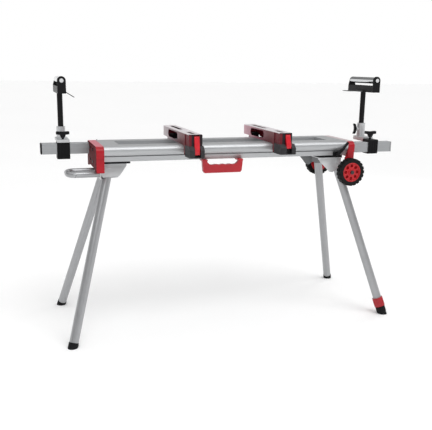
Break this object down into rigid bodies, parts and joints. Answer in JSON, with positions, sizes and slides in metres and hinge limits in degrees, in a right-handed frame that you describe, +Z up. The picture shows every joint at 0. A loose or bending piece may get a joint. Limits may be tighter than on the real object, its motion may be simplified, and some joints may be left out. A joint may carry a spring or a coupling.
{
  "type": "folding mitre saw stand",
  "caption": "Folding stand for a mitre saw: beam on splayed legs, slotted saw brackets, extending arms with roller supports, transport wheels and handles.",
  "frame": {"origin": "on the floor, under the middle of the beam", "axes": "+X along the beam towards the wheels, +Y towards the back, +Z up"},
  "size_m": [1.588, 0.5922, 1.09],
  "materials": {
    "silver": "satin extruded aluminium",
    "plate": "satin sheet",
    "zinc": "bright zinc-grey sheet",
    "red_plastic": "moulded red",
    "maroon_paint": "dark red paint",
    "black_plastic": "moulded black",
    "grey_cast": "dark grey paint",
    "black_paint": "black paint",
    "chrome": "polished",
    "leg_tube": "silver powder coat",
    "rubber": "matt",
    "tyre": "lugged"
  },
  "bodies": {
    "stand": {"beam": "silver", "channel_plates": "plate", "left_end_cap": "red_plastic", "right_end_cap": "red_plastic", "cap_screws": "black_paint", "lock_blocks": "black_plastic", "left_leg_bracket": "zinc", "right_leg_bracket": "zinc", "bracket_pads": "black_plastic", "leg_bolts": "chrome", "wheel_axles": "chrome", "loop_handle": "leg_tube", "carry_handle": "red_plastic", "handle_screws": "chrome"},
    "left_arm_body": {"left_arm": "silver", "left_arm_plug": "black_plastic"},
    "right_arm_body": {"right_arm": "silver", "right_arm_plug": "black_plastic"},
    "left_lock": {"left_lock_lever": "black_plastic"},
    "right_lock": {"right_lock_lever": "black_plastic"},
    "leg_lf": {"leg_left_front": "leg_tube", "foot_left_front": "rubber"},
    "leg_lr": {"leg_left_rear": "leg_tube", "foot_left_rear": "rubber"},
    "leg_rf": {"leg_right_front": "leg_tube"},
    "leg_rr": {"leg_right_rear": "leg_tube", "foot_right_rear": "rubber"},
    "collar": {"foot_collar": "red_plastic"},
    "level_foot": {"adjustable_foot": "rubber"},
    "front_wheel": {"front_wheel_hub": "red_plastic", "front_tyre": "tyre"},
    "rear_wheel": {"rear_wheel_hub": "red_plastic", "rear_tyre": "tyre"},
    "left_bracket_body": {"left_saw_bracket": "maroon_paint", "left_clamp_head": "grey_cast", "left_rear_hook": "black_plastic"},
    "left_release": {"left_release_lever": "red_plastic"},
    "right_bracket_body": {"right_saw_bracket": "maroon_paint", "right_clamp_head": "grey_cast", "right_rear_hook": "black_plastic"},
    "right_release": {"right_release_lever": "red_plastic"},
    "left_support": {"left_support_base": "zinc", "left_clamp_block": "black_plastic"},
    "left_clamp": {"left_clamp_knob": "black_plastic"},
    "left_post_knob_body": {"left_post_knob": "black_plastic"},
    "left_mast": {"left_post": "black_paint", "left_roller_bracket": "black_paint", "left_roller_bolts": "chrome"},
    "left_roller_body": {"left_roller": "chrome"},
    "left_stop": {"left_flip_stop": "grey_cast"},
    "right_support": {"right_support_base": "zinc", "right_clamp_block": "black_plastic"},
    "right_clamp": {"right_clamp_knob": "black_plastic"},
    "right_post_knob_body": {"right_post_knob": "black_plastic"},
    "right_mast": {"right_post": "black_paint", "right_roller_bracket": "black_paint", "right_roller_bolts": "chrome"},
    "right_roller_body": {"right_roller": "chrome"},
    "right_stop": {"right_flip_stop": "grey_cast"}
  },
  "joints": [
    {"name": "left_front_fold", "type": "hinge", "parent": "stand", "child": "leg_lf", "pos_m": [-0.525, -0.038, 0.7], "axis": [0, -0.9548, 0.2973], "range_deg": [0, 104.84]},
    {"name": "left_rear_fold", "type": "hinge", "parent": "stand", "child": "leg_lr", "pos_m": [-0.525, 0.038, 0.7], "axis": [0, -0.9548, -0.2973], "range_deg": [0, 104.84]},
    {"name": "right_front_fold", "type": "hinge", "parent": "stand", "child": "leg_rf", "pos_m": [0.52, -0.09, 0.7], "axis": [0, 0.9671, -0.2542], "range_deg": [0, 104.95]},
    {"name": "right_rear_fold", "type": "hinge", "parent": "stand", "child": "leg_rr", "pos_m": [0.52, 0.09, 0.7], "axis": [0, 0.9671, 0.2542], "range_deg": [0, 104.95]},
    {"name": "left_arm_slide", "type": "slide", "parent": "stand", "child": "left_arm_body", "axis": [-1, 0, 0], "range_m": [-0.03, 0.3]},
    {"name": "right_arm_slide", "type": "slide", "parent": "stand", "child": "right_arm_body", "axis": [1, 0, 0], "range_m": [-0.03, 0.3]},
    {"name": "right_lock_turn", "type": "hinge", "parent": "stand", "child": "right_lock", "pos_m": [0.5, -0.148, 0.745], "axis": [0, -1, 0], "range_deg": [0, 80]},
    {"name": "left_lock_turn", "type": "hinge", "parent": "stand", "child": "left_lock", "pos_m": [-0.5, 0.148, 0.745], "axis": [0, 1, 0], "range_deg": [0, 80]},
    {"name": "level_foot_slide", "type": "slide", "parent": "leg_rf", "child": "level_foot", "axis": [0.2589, -0.2456, -0.9342], "range_m": [0, 0.03]},
    {"name": "collar_turn", "type": "hinge", "parent": "leg_rf", "child": "collar", "pos_m": [0.714, -0.274, 0], "axis": [0.2589, -0.2456, -0.9342], "range_deg": [0, 90]},
    {"name": "front_wheel_spin", "type": "hinge", "parent": "stand", "child": "front_wheel", "pos_m": [0.561, -0.162, 0.663], "axis": [0, 1, 0], "continuous": true},
    {"name": "rear_wheel_spin", "type": "hinge", "parent": "stand", "child": "rear_wheel", "pos_m": [0.561, 0.162, 0.663], "axis": [0, 1, 0], "continuous": true},
    {"name": "left_bracket_slide", "type": "slide", "parent": "stand", "child": "left_bracket_body", "axis": [1, 0, 0], "range_m": [-0.2, 0.12]},
    {"name": "left_release_turn", "type": "hinge", "parent": "left_bracket_body", "child": "left_release", "pos_m": [-0.1895, -0.208, 0.838], "axis": [-1, 0, 0], "range_deg": [0, 95]},
    {"name": "right_bracket_slide", "type": "slide", "parent": "stand", "child": "right_bracket_body", "axis": [1, 0, 0], "range_m": [-0.12, 0.2]},
    {"name": "right_release_turn", "type": "hinge", "parent": "right_bracket_body", "child": "right_release", "pos_m": [0.2185, -0.208, 0.838], "axis": [-1, 0, 0], "range_deg": [0, 95]},
    {"name": "left_support_slide", "type": "slide", "parent": "left_arm_body", "child": "left_support", "axis": [-1, 0, 0], "range_m": [-0.03, 0.06]},
    {"name": "left_clamp_turn", "type": "hinge", "parent": "left_support", "child": "left_clamp", "pos_m": [-0.698, 0.1, 0.83], "axis": [0, 0, 1], "range_deg": [-180, 180]},
    {"name": "left_post_knob_turn", "type": "hinge", "parent": "left_support", "child": "left_post_knob_body", "pos_m": [-0.698, 0.18, 0.828], "axis": [0, 1, 0], "range_deg": [-180, 180]},
    {"name": "left_post_slide", "type": "slide", "parent": "left_support", "child": "left_mast", "axis": [0, 0, 1], "range_m": [-0.08, 0.03]},
    {"name": "left_roller_spin", "type": "hinge", "parent": "left_mast", "child": "left_roller_body", "pos_m": [-0.698, 0.18, 1.056], "axis": [0, 1, 0], "continuous": true},
    {"name": "left_stop_turn", "type": "hinge", "parent": "left_mast", "child": "left_stop", "pos_m": [-0.675, 0.18, 1.006], "axis": [0, -1, 0], "range_deg": [0, 122]},
    {"name": "right_support_slide", "type": "slide", "parent": "right_arm_body", "child": "right_support", "axis": [1, 0, 0], "range_m": [-0.03, 0.06]},
    {"name": "right_clamp_turn", "type": "hinge", "parent": "right_support", "child": "right_clamp", "pos_m": [0.69, -0.1, 0.83], "axis": [0, 0, 1], "range_deg": [-180, 180]},
    {"name": "right_post_knob_turn", "type": "hinge", "parent": "right_support", "child": "right_post_knob_body", "pos_m": [0.698, 0, 0.843], "axis": [-1, 0, 0], "range_deg": [-180, 180]},
    {"name": "right_post_slide", "type": "slide", "parent": "right_support", "child": "right_mast", "axis": [0, 0, 1], "range_m": [-0.1, 0.035]},
    {"name": "right_roller_spin", "type": "hinge", "parent": "right_mast", "child": "right_roller_body", "pos_m": [0.698, 0, 1.072], "axis": [0, 1, 0], "continuous": true},
    {"name": "right_stop_turn", "type": "hinge", "parent": "right_mast", "child": "right_stop", "pos_m": [0.675, 0, 1.022], "axis": [0, 1, 0], "range_deg": [0, 90]}
  ]
}
